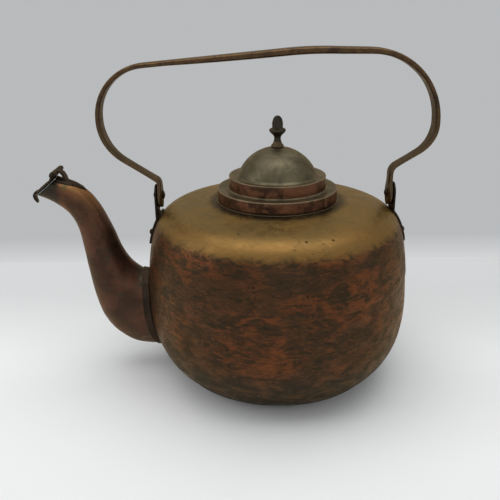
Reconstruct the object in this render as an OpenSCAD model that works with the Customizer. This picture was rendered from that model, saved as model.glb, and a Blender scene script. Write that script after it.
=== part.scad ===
// Copper kettle with a swing handle, a lift-off stepped lid and a swan-neck spout with a hinged flap.
// Millimetres. The origin is the centre of the flat base, +Z is up and the spout points to -X.

/* [Body] */
// Largest diameter of the belly
belly_d = 230; // [200:1:260]
// Height of the belly's widest point
belly_z = 71; // [60:1:80]
// Diameter of the flat that the kettle stands on
base_flat_d = 120; // [100:1:140]
// Height of the shoulder where its curve ends, before its slope is added
shoulder_z = 151.5; // [145:0.5:160]
// Diameter at which the shoulder's curve ends and its straight slope begins
shoulder_d = 124; // [116:1:140]
// Rise of the shoulder for each millimetre towards the middle
shoulder_slope = 0.12; // [0.05:0.01:0.2]
// Thickness of the copper sheet
wall_t = 1.2; // [1:0.1:1.6]
// Place of the seam between base pan and body, in degrees along the lower curve
seam_angle = 32; // [28:1:40]

/* [Neck] */
// Outer diameter of the upright neck ring
neck_d = 97.2; // [90:0.1:97.4]
// Height of the neck ring's top edge
neck_top_z = 167.6; // [165:0.1:168]
// Diameter of the neck ring's flange on the shoulder
neck_flange_d = 104.8; // [103.8:0.2:108]

/* [Lid] */
// Outer diameter of the lower step
lid_d = 103.4; // [102.2:0.2:104.6]
// Height of the lower step's top
lid_step_z = 170; // [169.5:0.5:172]
// Outer diameter of the upper step
lid_upper_d = 83.6; // [78:0.2:86]
// Height of the upper step's top
lid_upper_z = 180.5; // [178:0.5:184]
// Diameter of the dome where it meets the upper step
dome_d = 68; // [62:0.5:71]
// Height of the dome's top
dome_top_z = 204.5; // [200:0.5:208]
// Thickness of the lid's sheet
lid_t = 1.0; // [0.8:0.1:1.4]
// Height of the acorn finial above the dome
finial_h = 25.8; // [22:0.2:30]

/* [Handle] */
// Height of the two pivots
pivot_z = 163.5; // [162:0.5:166]
// Distance between the inner faces of the handle's two feet
foot_gap = 193.6; // [191:0.1:194]
// How far the handle and its ears sit to one side of the middle, negative towards the spout
handle_shift = -2.2; // [-3:0.1:0]
// Width of the handle strip
bail_w = 17; // [14:1:20]
// Thickness of the handle strip
bail_t = 4; // [3:0.1:4.4]
// Extra thickness under the middle of the grip
grip_extra_t = 1.8; // [1:0.1:4]
// Radius of the handle's rounded feet
foot_r = 10.5; // [9.5:0.5:11]
// Width of each ear strap
ear_w = 17; // [14:1:20]
// Thickness of each ear
ear_t = 2; // [1.6:0.1:2.4]
// Height of each ear's lower end
ear_bottom_z = 119; // [114:1:122]
// Height of the rivet in each ear
ear_rivet_z = 129.5; // [127:0.5:132]

/* [Spout] */
// Thickness of the spout's sheet
spout_t = 1.2; // [1:0.1:1.6]
// How far the root collar reaches along the spout
root_collar_w = 7; // [5:0.5:9]
// Thickness of the root collar
root_collar_t = 1.2; // [1:0.1:1.6]
// Thickness of the flap over the mouth
flap_t = 1.4; // [1.2:0.1:1.8]
// Diameter of the flap's hinge pin
pin_d = 2.2; // [2:0.1:2.6]
// Length of the hinge pin between its ball ends
pin_len = 28; // [27:0.5:29]

/* [Hidden] */
$fn = 96;
eps = 0.01;             // overlap that keeps cutters clear of coplanar faces
body_gap = 0.3;         // free space between pieces that move past each other
running_gap = 0.06;     // radial clearance of a pin in its bore
seam_gap = 0.1;         // solder that fills a seam between two sheets
belly_r = belly_d / 2;
base_flat_r = base_flat_d / 2;
shoulder_r = shoulder_d / 2;
neck_r = neck_d / 2;

// ---- Outline of the body: two superellipse quarters and a straight shoulder ----
low_power_r = 2 / 2.3;  // fullness of the lower curve across
low_power_z = 2 / 2.2;  // fullness of the lower curve upward
top_power_r = 2 / 5.8;  // fullness of the upper curve across
top_power_z = 2 / 2.1;  // fullness of the upper curve upward

function rise(r) = shoulder_slope * (belly_r - r);
function low_pt(a) = [base_flat_r + (belly_r - base_flat_r) * pow(sin(a), low_power_r),
    belly_z * (1 - pow(cos(a), low_power_z))];
function top_r(a) = shoulder_r + (belly_r - shoulder_r) * pow(cos(a), top_power_r);
function top_pt(a) = [top_r(a),
    belly_z + (shoulder_z - belly_z) * pow(sin(a), top_power_z) + rise(top_r(a))];
function shoulder_pt(r) = [r, shoulder_z + rise(r)];

// A point moved sideways from the curve by d, positive outward; the curve runs upward
function side(p, q) = let (u = (q - p) / norm(q - p)) [u.y, -u.x];
function low_off(a, d) = low_pt(a) + d * side(low_pt(a - 0.5), low_pt(min(a + 0.5, 90)));
function top_off(a, d) = top_pt(a) + d * side(top_pt(max(a - 0.5, 0)), top_pt(min(a + 0.5, 89.9)));
function shoulder_off(r, d) = shoulder_pt(r) + d * [shoulder_slope, 1] / norm([shoulder_slope, 1]);

low_step = 5;
top_angles = [0, 8, 16, 24, 31, 38, 44, 50, 56, 61, 66, 71, 76, 81, 86];
function low_run(a0, a1, d) = [for (i = [0 : 1 : ceil((a1 - a0) / low_step)])
    low_off(min(a0 + i * low_step, a1), d)];
function wall_run(d) = concat(low_run(seam_angle, 88, d), [for (a = top_angles) top_off(a, d)],
    [shoulder_off(shoulder_r, d), shoulder_off(neck_r + seam_gap, d)]);
function back(list) = [for (i = [len(list) - 1 : -1 : 0]) list[i]];

// The whole outside of the body as one filled solid, grown by d
module body_solid(d = 0) {
    run = wall_run(d);
    rotate_extrude()
        polygon(concat([[0, -d], [base_flat_r, -d]], low_run(5, seam_angle - low_step, d), run,
            [[0, run[len(run) - 1].y]]));
}

// ---- Body ----
spout_hole_z = 55;
spout_hole_half_h = 30;
spout_hole_half_w = 17;

module ellipse_2d(a, b, count) {
    polygon([for (i = [0 : count - 1]) [a * cos(360 * i / count), b * sin(360 * i / count)]]);
}

module body_shell() {
    color([0.42, 0.25, 0.14])
    difference() {
        rotate_extrude()
            polygon(concat(wall_run(0), back(wall_run(-wall_t))));
        translate([-belly_r - 10, 0, spout_hole_z])
            rotate([0, 90, 0])
                linear_extrude(height = 40)
                    ellipse_2d(spout_hole_half_h, spout_hole_half_w, 36);
        for (s = [0, 1])
            mirror([s, 0, 0])
                ear_rivet_axis() translate([0, 0, -8]) cylinder(r = ear_rivet_r, h = 16);
    }
}

lap_a = 10;     // how far the pan's lap reaches up inside the body, in degrees
module base_pan() {
    lap_in = wall_t + seam_gap;
    color([0.33, 0.27, 0.18])
    rotate_extrude()
        polygon(concat([[0, 0], [base_flat_r, 0]], low_run(5, seam_angle, 0),
            low_run(seam_angle, seam_angle + lap_a, -lap_in),
            back(low_run(seam_angle, seam_angle + lap_a, -lap_in - wall_t)),
            back(low_run(5, seam_angle - low_step, -wall_t)), [[base_flat_r, wall_t], [0, wall_t]]));
}

// ---- Neck ring with its flange on the shoulder ----
neck_t = 1.2;
neck_flange_t = 0.8;
neck_bottom_z = shoulder_pt(neck_r).y - 4;
module neck_collar() {
    flange_r = neck_flange_d / 2;
    function flange_pt(r, up) = shoulder_pt(r) + [0, seam_gap + up];
    color([0.35, 0.27, 0.17])
    rotate_extrude()
        polygon([[neck_r - neck_t, neck_bottom_z], [neck_r, neck_bottom_z], flange_pt(neck_r, 0),
            flange_pt(flange_r, 0), flange_pt(flange_r, neck_flange_t), flange_pt(neck_r, neck_flange_t),
            [neck_r, neck_top_z], [neck_r - neck_t, neck_top_z]]);
}

// ---- Lid ----
lid_r = lid_d / 2;
lid_upper_r = lid_upper_d / 2;
dome_r = dome_d / 2;
skirt_z = shoulder_pt(lid_r).y + seam_gap + neck_flange_t + body_gap;
dome_h = dome_top_z - lid_upper_z;
dome_ball_r = (dome_r * dome_r + dome_h * dome_h) / (2 * dome_h);
dome_centre_z = dome_top_z - dome_ball_r;
dome_angle = asin(dome_r / dome_ball_r);
dome_steps = 14;
finial_hole_r = 2;
function dome_z(r) = dome_centre_z + sqrt(dome_ball_r * dome_ball_r - r * r);
function dome_run(r, inner_r) = [for (i = [0 : dome_steps])
    let (a = dome_angle + (asin(inner_r / r) - dome_angle) * i / dome_steps)
    [r * sin(a), dome_centre_z + r * cos(a)]];

module lid_shell() {
    edge = 0.7;     // roundness of the steps' rims
    color([0.34, 0.31, 0.22])
    rotate_extrude()
        polygon(concat(
            [[lid_r - lid_t, skirt_z], [lid_r, skirt_z], [lid_r, lid_step_z - edge],
            [lid_r - edge, lid_step_z], [lid_upper_r, lid_step_z], [lid_upper_r, lid_upper_z - edge],
            [lid_upper_r - edge, lid_upper_z]],
            dome_run(dome_ball_r, finial_hole_r),
            back(dome_run(dome_ball_r - lid_t, finial_hole_r)),
            [[dome_r - lid_t, lid_upper_z - lid_t], [lid_upper_r - lid_t, lid_upper_z - lid_t],
            [lid_upper_r - lid_t, lid_step_z - lid_t], [lid_r - lid_t, lid_step_z - lid_t]]));
}

inner_collar_gap = 0.5;
inner_collar_h = 15;
module lid_inner_collar() {
    outer_r = neck_r - neck_t - inner_collar_gap;
    color([0.4, 0.26, 0.15])
    translate([0, 0, lid_step_z - lid_t - inner_collar_h])
        difference() {
            cylinder(r = outer_r, h = inner_collar_h);
            translate([0, 0, -1]) cylinder(r = outer_r - lid_t, h = inner_collar_h + 2);
        }
}

// ---- Finial: brass foot, acorn and the burr that clenches them under the dome ----
foot_h = 4.6;
finial_top_z = dome_top_z + finial_h;
burr_r = 5;
burr_t = 1.6;
module finial_foot() {
    rim_r = 5.4;
    color([0.45, 0.36, 0.2])
    rotate_extrude()
        polygon(concat([for (r = [finial_hole_r, 3, 4.2, rim_r]) [r, dome_z(r) + seam_gap]],
            [[rim_r, dome_top_z + 0.9], [4.9, dome_top_z + 1.8], [4, dome_top_z + 2.7],
            [3.4, dome_top_z + foot_h], [finial_hole_r, dome_top_z + foot_h]]));
}

module finial_acorn() {
    z0 = dome_top_z + foot_h;
    top = finial_top_z;
    cup_z = z0 + 9.2;       // the acorn's cup, the widest place
    nut_r = 4.5;
    stem_z = dome_top_z - lid_t - burr_t - 0.9;
    color([0.16, 0.14, 0.11])
    rotate_extrude()
        polygon(concat(
            [[0, stem_z], [finial_hole_r - eps, stem_z],
            [finial_hole_r - eps, z0], [3.3, z0], [2.9, z0 + 1.4], [2.9, z0 + 3.2], [3.6, z0 + 4.8],
            [5, z0 + 6.4], [6.6, cup_z - 1.2], [7, cup_z], [6.5, cup_z + 1.1], [5.4, cup_z + 1.7],
            [nut_r, cup_z + 2.2]],
            [for (a = [0 : 15 : 90]) [nut_r * pow(cos(a), 0.8),
                cup_z + 5 + (top - cup_z - 5) * sin(a)]]));
}

module finial_burr() {
    drop = 0.5;     // how far the dome has curved down at the burr's rim, and a little more
    color([0.45, 0.36, 0.2])
    translate([0, 0, dome_top_z - lid_t - burr_t - drop])
        difference() {
            cylinder(r1 = burr_r - 1, r2 = burr_r, h = burr_t);
            translate([0, 0, -1]) cylinder(r = finial_hole_r, h = burr_t + 2);
        }
}

// ---- Ears and their rivets, drawn on the left; the right ones are mirrored, and out moves a tab
// and its pivot away from the middle, because the handle sits a little nearer to the spout ----
foot_x = foot_gap / 2;
ear_x = foot_x + bail_t + body_gap;
ear_head_r = 9.5;
ear_tab_z = 142;        // height from which the upright tab rises out of the strap
ear_rivet_r = 2;
ear_rivet_tilt = 17;
pivot_r = 2.5;
// A point at height z on the outline's upper curve, found between two neighbouring angles
function top_r_at(z) = let (hit = [for (a = [0 : 0.5 : 89]) if (top_pt(a).y <= z && top_pt(a + 0.5).y > z)
    top_r(a + 0.25)]) hit[0];

module ear_rivet_axis() {
    translate([-top_r_at(ear_rivet_z), 0, ear_rivet_z])
        rotate([0, -90 + ear_rivet_tilt, 0]) children();
}

module ear(out) {
    tab_x = -ear_x - ear_t - out;
    angles = [for (a = [28 : 4 : 68]) a];
    difference() {
        union() {
            intersection() {
                rotate_extrude()
                    polygon(concat([for (a = angles) top_off(a, ear_t)],
                        back([for (a = angles) top_off(a, 0)])));
                translate([-belly_r - 10, 0, ear_bottom_z + ear_w / 2]) rotate([0, 90, 0]) union() {
                    cylinder(r = ear_w / 2, h = 40);
                    translate([-40, -ear_w / 2, 0]) cube([40, ear_w, 40]);
                }
            }
            translate([tab_x, 0, pivot_z]) rotate([0, 90, 0]) cylinder(r = ear_head_r, h = ear_t);
            translate([tab_x, -ear_head_r, ear_tab_z])
                cube([ear_t, 2 * ear_head_r, pivot_z - ear_tab_z]);
        }
        body_solid();
        translate([tab_x - 1, 0, pivot_z]) rotate([0, 90, 0]) cylinder(r = pivot_r, h = ear_t + 2);
        ear_rivet_axis() translate([0, 0, -8]) cylinder(r = ear_rivet_r, h = 16);
    }
}

module ear_left() { color([0.15, 0.12, 0.1]) ear(-handle_shift); }
module ear_right() { color([0.15, 0.12, 0.1]) mirror([1, 0, 0]) ear(handle_shift); }

// A domed rivet head on the plane z = 0
module rivet_head(r, h) {
    ball_r = (r * r + h * h) / (2 * h);
    intersection() {
        translate([0, 0, h - ball_r]) sphere(r = ball_r);
        cylinder(r = r + 1, h = h + 1);
    }
}

module ear_rivet() {
    ear_rivet_axis() {
        translate([0, 0, ear_t]) rivet_head(2.9, 1.9);
        translate([0, 0, -wall_t - 0.5]) cylinder(r = ear_rivet_r, h = ear_t + wall_t + 1);
        translate([0, 0, -wall_t - 0.15]) mirror([0, 0, 1]) rivet_head(3, 1);
    }
}

module ear_rivet_left() { color([0.2, 0.15, 0.1]) ear_rivet(); }
module ear_rivet_right() { color([0.2, 0.15, 0.1]) mirror([1, 0, 0]) ear_rivet(); }

// The pivot rivet is fixed in the ear, and the handle's foot turns on it
module pivot_rivet(out) {
    translate([-ear_x - ear_t - out, 0, pivot_z]) rotate([0, 90, 0]) {
        mirror([0, 0, 1]) rivet_head(4.2, 1.8);
        cylinder(r = pivot_r, h = ear_t);
        translate([0, 0, ear_t - eps]) cylinder(r = pivot_r, h = 2 * body_gap + bail_t + eps + 0.4);
        translate([0, 0, ear_t + 2 * body_gap + bail_t]) rivet_head(4.4, 1.8);
    }
}

module pivot_rivet_left() { color([0.2, 0.15, 0.1]) pivot_rivet(-handle_shift); }
module pivot_rivet_right() { color([0.2, 0.15, 0.1]) mirror([1, 0, 0]) pivot_rivet(handle_shift); }

// ---- Handle: a flat strip bent along a path in the XZ plane ----
foot_mid_x = foot_x + bail_t / 2;
left_foot_x = handle_shift - foot_mid_x;
right_foot_x = handle_shift + foot_mid_x;
// Corners of the strip's middle line as [x, z, bend radius], from the left foot to the right foot
bail_corners = [[left_foot_x, pivot_z, 0], [left_foot_x, 176.2, 5], [-147.6, 206.5, 40], [-147.2, 268, 42],
    [25, 282.8, 300], [131.4, 279.8, 58], [131.4, 207, 28], [right_foot_x, 185.5, 9],
    [right_foot_x, pivot_z, 0]];
grip_mid_x = 15;
grip_half_len = 105;
bar_low_z = 262;        // the top bar is all of the strip above this height

function unit(v) = v / norm(v);
// The arc of radius r that rounds corner v between the points p and q
function bend(p, v, q, r, n) = let (
        a = unit(p - v), b = unit(q - v), half = acos(a * b) / 2,
        c = v + unit(a + b) * r / sin(half),
        s = v + a * r / tan(half) - c, e = v + b * r / tan(half) - c,
        a0 = atan2(s.y, s.x), turn = (atan2(e.y, e.x) - a0 + 540) % 360 - 180)
    [for (i = [0 : n]) c + r * [cos(a0 + turn * i / n), sin(a0 + turn * i / n)]];
function corner_xz(i) = [bail_corners[i].x, bail_corners[i].y];
last_corner = len(bail_corners) - 1;
bail_path = concat([corner_xz(0)],
    [for (i = [1 : last_corner - 1]) each bend(corner_xz(i - 1), corner_xz(i), corner_xz(i + 1),
        bail_corners[i][2], 9)],
    [corner_xz(last_corner)]);
function path_off(d) = [for (i = [0 : len(bail_path) - 1])
    bail_path[i] + d * side(bail_path[max(i - 1, 0)], bail_path[min(i + 1, len(bail_path) - 1)])];
function swell(x) = max(0, 1 - pow((x - grip_mid_x) / grip_half_len, 2));
bar = [for (p = bail_path) if (p.y > bar_low_z) p];
function bar_z(x) = lookup(x, bar);
grip_xs = [for (i = [-10 : 10]) grip_mid_x + 10 * i];
// The legs draw in to a waist between the bends and the feet
waist_half_w = 4.8;
waist_top_z = 214;
// Half widths in plan as [x, half width], above and below waist_top_z
bar_plan = [for (i = [-16 : 14]) [10 * i, bail_w / 2 + 2 * swell(10 * i)]];
leg_plan = [[-160, bail_w / 2], [-146, bail_w / 2], [-140, 7], [-132, 5.6], [-122, waist_half_w],
    [-110, waist_half_w], [-103, 5.6], [-96, 7], [0, 7], [90, 7], [98, 5.6], [104, waist_half_w],
    [112, waist_half_w], [120, 5.6], [126, 7], [131, bail_w / 2], [140, bail_w / 2]];
module plan(half_widths) {
    polygon(concat(half_widths, back([for (p = half_widths) [p.x, -p.y]])));
}

module bail_handle() {
    color([0.3, 0.22, 0.16])
    difference() {
        union() {
            intersection() {
                rotate([90, 0, 0]) linear_extrude(height = 40, center = true) {
                    polygon(concat(path_off(bail_t / 2), back(path_off(-bail_t / 2))));
                    polygon(concat([for (x = grip_xs) [x, bar_z(x)]],
                        back([for (x = grip_xs) [x, bar_z(x) - bail_t / 2 - grip_extra_t * swell(x)]])));
                }
                union() {
                    translate([0, 0, waist_top_z]) linear_extrude(height = 90) plan(bar_plan);
                    translate([0, 0, 100]) linear_extrude(height = waist_top_z - 100) plan(leg_plan);
                }
            }
            for (x = [left_foot_x, right_foot_x])
                translate([x - bail_t / 2, 0, pivot_z])
                    rotate([0, 90, 0]) cylinder(r = foot_r, h = bail_t);
        }
        for (x = [left_foot_x, right_foot_x])
            translate([x - bail_t, 0, pivot_z])
                rotate([0, 90, 0]) cylinder(r = pivot_r + running_gap, h = 2 * bail_t);
    }
}

// ---- Spout: an oval tube whose rings stand between two edges drawn in the XZ plane ----
// Stations as [lower edge x, z, upper edge x, z, half width], from inside the body to past the mouth
spout_stations = [[-96, 21, -96, 93, 23.5], [-110, 20.5, -106, 93.2, 24], [-122.5, 21.5, -112.5, 93.4, 24],
    [-133.6, 24.2, -117, 93.6, 24], [-143.8, 31, -120.5, 94.2, 24], [-153, 40, -123.5, 95.8, 23.5],
    [-160.6, 53.5, -127, 98.6, 22.3], [-165.2, 70, -130.8, 102.6, 20.8], [-168, 87, -135, 109, 19],
    [-170, 103, -139.3, 118.5, 17.2], [-171.8, 118, -143.3, 130.5, 15.8], [-174, 133, -148.5, 143.2, 14.6],
    [-178, 144, -154.6, 156, 13.7], [-183.5, 151.5, -163, 167.3, 13], [-192, 158, -174, 175.3, 12.2],
    [-201, 162.7, -186, 179.6, 11.4], [-213, 167.5, -199, 184, 10.8]];
spout_sides = 28;
rings_per_span = 2;
span_count = len(spout_stations) - 1;
// Catmull-Rom blend between station i and the next
function station(i) = spout_stations[max(0, min(span_count, i))];
function blend(i, t) = let (p0 = station(i - 1), p1 = station(i), p2 = station(i + 1), p3 = station(i + 2))
    0.5 * (2 * p1 + t * (p2 - p0) + t * t * (2 * p0 - 5 * p1 + 4 * p2 - p3)
        + t * t * t * (3 * p1 - p0 - 3 * p2 + p3));
ring_count = span_count * rings_per_span + 1;
function ring_at(k) = let (i = min(floor(k / rings_per_span), span_count - 1))
    blend(i, k / rings_per_span - i);
function ring_pts(k, grow) = let (s = ring_at(k), low = [s[0], s[1]], high = [s[2], s[3]],
        mid = (low + high) / 2, u = unit(low - high), half_h = norm(low - high) / 2 + grow)
    [for (j = [0 : spout_sides - 1]) let (
        across = half_h * cos(360 * j / spout_sides), out = (s[4] + grow) * sin(360 * j / spout_sides))
        [mid.x + u.x * across, out, mid.y + u.y * across]];

// The spout's solid grown by grow, its walls drawn in by a negative value
module spout_solid(grow) {
    points = [for (k = [0 : ring_count - 1]) each ring_pts(k, grow)];
    n = spout_sides;
    sides = [for (k = [0 : ring_count - 2]) for (j = [0 : n - 1])
        each [[k * n + j, k * n + (j + 1) % n, (k + 1) * n + j],
            [k * n + (j + 1) % n, (k + 1) * n + (j + 1) % n, (k + 1) * n + j]]];
    first = [[for (j = [n - 1 : -1 : 0]) j]];
    last = [[for (j = [0 : n - 1]) (ring_count - 1) * n + j]];
    polyhedron(points = points, faces = concat(sides, first, last), convexity = 6);
}

// The belly where the spout joins it, as a filled solid grown by d
module belly_solid(d = 0) {
    run = concat(low_run(seam_angle, 88, d), [for (a = [0, 8, 16, 24, 31]) top_off(a, d)]);
    rotate_extrude()
        polygon(concat([[0, run[0].y]], run, [[0, run[len(run) - 1].y]]));
}

// The oblique mouth: lip is its lowest point and mouth_angle its slope
lip = [-206.5, 165];
mouth_angle = 40;
module beyond_mouth(gap = 0) {
    translate([lip.x, 0, lip.y]) rotate([0, -mouth_angle, 0])
        translate([-60, -50, gap]) cube([140, 100, 60]);
}

module spout_tube() {
    color([0.27, 0.17, 0.12])
    difference() {
        spout_solid(0);
        spout_solid(-spout_t);
        belly_solid(seam_gap);
        beyond_mouth();
    }
}

module spout_root_collar() {
    color([0.3, 0.2, 0.14])
    difference() {
        intersection() {
            spout_solid(root_collar_t);
            belly_solid(root_collar_w);
        }
        spout_solid(0);
        belly_solid(seam_gap);
    }
}

// ---- Flap hinge at the top of the mouth ----
hinge = [-188.5, 185];
knuckle_r = 2.5;
strap_knuckle_w = 8;
flap_knuckle_w = 8.6;
module along_y(w, y = 0) { translate([hinge.x, y + w / 2, hinge.y]) rotate([90, 0, 0]) cylinder_of(w); }
module cylinder_of(w) { cylinder(r = knuckle_r, h = w); }
module pin_bore(r) {
    translate([hinge.x, 30, hinge.y]) rotate([90, 0, 0]) cylinder(r = r, h = 60);
}

strap_t = 0.8;
module spout_hinge_strap() {
    color([0.2, 0.15, 0.11])
    difference() {
        union() {
            // The leaf that lies on the spout and narrows to a point
            difference() {
                intersection() {
                    spout_solid(strap_t);
                    translate([0, 0, 168]) linear_extrude(height = 20)
                        polygon([[-188.6, 7.5], [-188.6, -7.5], [-178, -7], [-168, -3.6], [-164, 0],
                            [-168, 3.6], [-178, 7]]);
                }
                spout_solid(0);
            }
            // The tongue that stands up behind the mouth and carries the middle knuckle
            rotate([90, 0, 0]) linear_extrude(height = strap_knuckle_w, center = true)
                polygon([[-179.4, 176.5], [-180.6, 181.2], [-182.4, 184.6], [-185.4, 186.6],
                    [hinge.x, hinge.y + 1.9], [hinge.x, hinge.y + 0.3], [-185.6, 185], [-183.6, 183.2],
                    [-182.6, 181], [-182.4, 177]]);
            along_y(strap_knuckle_w);
        }
        pin_bore(pin_d / 2);
        spout_solid(0);
    }
}

module flap_hinge_pin() {
    color([0.16, 0.13, 0.1]) {
        translate([hinge.x, pin_len / 2, hinge.y]) rotate([90, 0, 0])
            cylinder(r = pin_d / 2 - eps, h = pin_len);
        for (s = [-1, 1])
            translate([hinge.x, s * (pin_len / 2 + 0.6), hinge.y]) sphere(r = 2);
    }
}

flap_gap = 0.35;
flap_half_w = 11.6;
flap_len = 19.5;        // from the lip to the flap's upper end, along the mouth
flap_rise = 1.4;        // how far the middle of the flap is domed above its rim
lug_w = 6;
lug_y = strap_knuckle_w / 2 + body_gap + lug_w / 2;
flap_knuckle_y = strap_knuckle_w / 2 + body_gap + flap_knuckle_w / 2;
module spout_flap() {
    mid = flap_len / 2;
    color([0.14, 0.12, 0.1])
    difference() {
        union() {
            translate([lip.x, 0, lip.y]) rotate([0, -mouth_angle, 0]) {
                // The plate over the mouth, with the root of its beak past the lip
                translate([0, 0, flap_gap]) linear_extrude(height = flap_t) {
                    translate([mid - 0.6, 0]) ellipse_2d(mid + 0.6, flap_half_w, 40);
                    polygon([[3, 8], [-1, 4.4], [-2.4, 2.6], [-2.4, -2.6], [-1, -4.4], [3, -8]]);
                    translate([flap_len - 6, -lug_y - lug_w / 2]) square([6, 2 * lug_y + lug_w]);
                }
                // The dome on the plate
                translate([mid - 0.6, 0, flap_gap + flap_t - eps]) hull() {
                    linear_extrude(height = eps) ellipse_2d(mid - 0.4, flap_half_w - 1, 32);
                    linear_extrude(height = flap_rise * 0.7) ellipse_2d(mid * 0.72, flap_half_w * 0.7, 32);
                    linear_extrude(height = flap_rise) ellipse_2d(mid * 0.4, flap_half_w * 0.38, 32);
                }
            }
            // The beak, curled down in front of the lip
            rotate([90, 0, 0]) linear_extrude(height = 5.2, center = true)
                polygon([[-205, 167], [-204.6, 169.4], [-207, 169.2], [-209, 168], [-210.7, 165.6],
                    [-210.9, 163.4], [-210, 161], [-208.5, 159], [-207.2, 158], [-207.5, 160],
                    [-208.1, 162], [-207.9, 164.1], [-207.3, 165.2]]);
            for (s = [-1, 1]) {
                along_y(flap_knuckle_w, s * flap_knuckle_y);
                // The lug that joins the plate to the knuckle
                translate([0, s * lug_y, 0]) rotate([90, 0, 0])
                    linear_extrude(height = lug_w, center = true)
                        polygon([[-193.4, 178.4], [-190.6, 184.4], [-189, 183.4], [-190.9, 178.9],
                            [-192.2, 177.6]]);
            }
        }
        pin_bore(pin_d / 2 + running_gap);
        // Room for the strap's knuckle between the flap's two
        translate([hinge.x - 4.5, -strap_knuckle_w / 2 - body_gap, hinge.y - 4.5])
            cube([9, strap_knuckle_w + 2 * body_gap, 9]);
    }
}

body_shell();
base_pan();
neck_collar();
spout_tube();
spout_root_collar();
spout_hinge_strap();
flap_hinge_pin();
spout_flap();
ear_left();
ear_right();
ear_rivet_left();
ear_rivet_right();
pivot_rivet_left();
pivot_rivet_right();
bail_handle();
lid_shell();
lid_inner_collar();
finial_acorn();
finial_foot();
finial_burr();
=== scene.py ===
"""The copper kettle's finished surfaces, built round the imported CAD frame.

Shapes are worked out in millimetres and turned into metres when a mesh is made.
"""

import math

import bmesh
import bpy
import numpy as np
from mathutils import Matrix, Vector, noise


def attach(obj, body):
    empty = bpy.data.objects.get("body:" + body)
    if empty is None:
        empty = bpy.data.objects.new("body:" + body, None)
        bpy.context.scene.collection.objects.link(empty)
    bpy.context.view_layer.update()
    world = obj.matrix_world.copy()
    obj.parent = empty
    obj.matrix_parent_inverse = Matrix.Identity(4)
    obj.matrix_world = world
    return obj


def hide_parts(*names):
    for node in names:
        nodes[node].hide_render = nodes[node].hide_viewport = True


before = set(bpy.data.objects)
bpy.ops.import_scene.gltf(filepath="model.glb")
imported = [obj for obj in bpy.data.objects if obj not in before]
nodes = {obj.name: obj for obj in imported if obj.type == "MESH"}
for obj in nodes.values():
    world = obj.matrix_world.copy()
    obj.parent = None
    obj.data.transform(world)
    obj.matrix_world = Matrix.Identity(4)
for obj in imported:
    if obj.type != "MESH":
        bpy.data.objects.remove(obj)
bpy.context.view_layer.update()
scene = bpy.context.scene

MM = 0.001
TAU = 2 * math.pi

# ---- Driving sizes, in millimetres, as the CAD has them ----
BELLY_R = 115.0
BELLY_Z = 71.0
BASE_FLAT_R = 60.0
SHOULDER_Z = 151.5
SHOULDER_R = 62.0
SHOULDER_SLOPE = 0.12
WALL_T = 1.2
SEAM_ANGLE = 32.0
LOW_POWER = (2 / 2.3, 2 / 2.2)      # fullness of the lower curve, across and upward
TOP_POWER = (2 / 5.8, 2 / 2.1)      # fullness of the upper curve, across and upward
SPOUT_HOLE_Z = 55.0                 # the oval hole behind the spout
SPOUT_HOLE_HALF_W = 17.0
SPOUT_HOLE_HALF_H = 30.0
NECK_R = 48.6
NECK_TOP_Z = 167.6
NECK_FLANGE_R = 52.4
NECK_FLANGE_T = 0.8
LID_R = 51.7
LID_STEP_Z = 170.0
LID_UPPER_R = 41.8
LID_UPPER_Z = 180.5
DOME_R = 34.0
DOME_TOP_Z = 204.5
LID_T = 1.0
SEAM_GAP = 0.1                      # solder that fills a seam between two sheets
PIVOT_Z = 163.5
PIVOT_HOLE_R = 2.56
LEFT_FOOT_X = -101.0                # middle of the handle's feet
RIGHT_FOOT_X = 96.6
BAIL_T = 4.0
BAIL_HALF_W = 8.5
FOOT_R = 10.5
FOOT_END_Z = PIVOT_Z - 10.3         # the middle line stops just above the round foot's bottom
SPOUT_T = 1.2


# ---- Mesh helpers ----
def unit(v):
    return v / (np.linalg.norm(v, axis=-1, keepdims=True) + 1e-12)


def make_mesh(name, points, faces):
    """A smooth-shaded object from points in millimetres, its normals outward."""
    mesh = bpy.data.meshes.new(name)
    mesh.from_pydata((np.asarray(points, float) * MM).tolist(), [], faces)
    shaped = bmesh.new()
    shaped.from_mesh(mesh)
    bmesh.ops.recalc_face_normals(shaped, faces=shaped.faces)
    shaped.to_mesh(mesh)
    shaped.free()
    mesh.polygons.foreach_set("use_smooth", [True] * len(mesh.polygons))
    obj = bpy.data.objects.new(name, mesh)
    scene.collection.objects.link(obj)
    return obj


def grid_faces(rows, cols, wrap_rows=False):
    """Quads over a grid of points whose columns go round and whose rows may."""
    last = rows if wrap_rows else rows - 1
    return [(i * cols + j, i * cols + (j + 1) % cols,
             (i + 1) % rows * cols + (j + 1) % cols, (i + 1) % rows * cols + j)
            for i in range(last) for j in range(cols)]


def dense(points, step):
    """The outline's points with more between them, no further apart than step."""
    points = np.asarray(points, float)
    out = [points[0]]
    for a, b in zip(points[:-1], points[1:]):
        parts = max(1, math.ceil(np.linalg.norm(b - a) / step))
        out += [a + (b - a) * k / parts for k in range(1, parts + 1)]
    return np.array(out)


def rounded(points, radius, closed=False, parts=4):
    """The outline with each corner turned into an arc of about that radius."""
    points = np.asarray(points, float)
    count = len(points)
    out = []
    for i, v in enumerate(points):
        if not closed and i in (0, count - 1):
            out.append(v)
            continue
        a, b = points[i - 1] - v, points[(i + 1) % count] - v
        room = min(np.linalg.norm(a), np.linalg.norm(b)) * 0.45
        ua, ub = unit(a), unit(b)
        half = math.acos(np.clip(ua @ ub, -1, 1)) / 2
        if half > 1.5:
            out.append(v)
            continue
        reach = min(radius / math.tan(half), room)
        start, end = v + ua * reach, v + ub * reach
        for k in range(parts + 1):
            t = k / parts
            out.append((1 - t) ** 2 * start + 2 * t * (1 - t) * v + t * t * end)
    return np.array(out)


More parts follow.
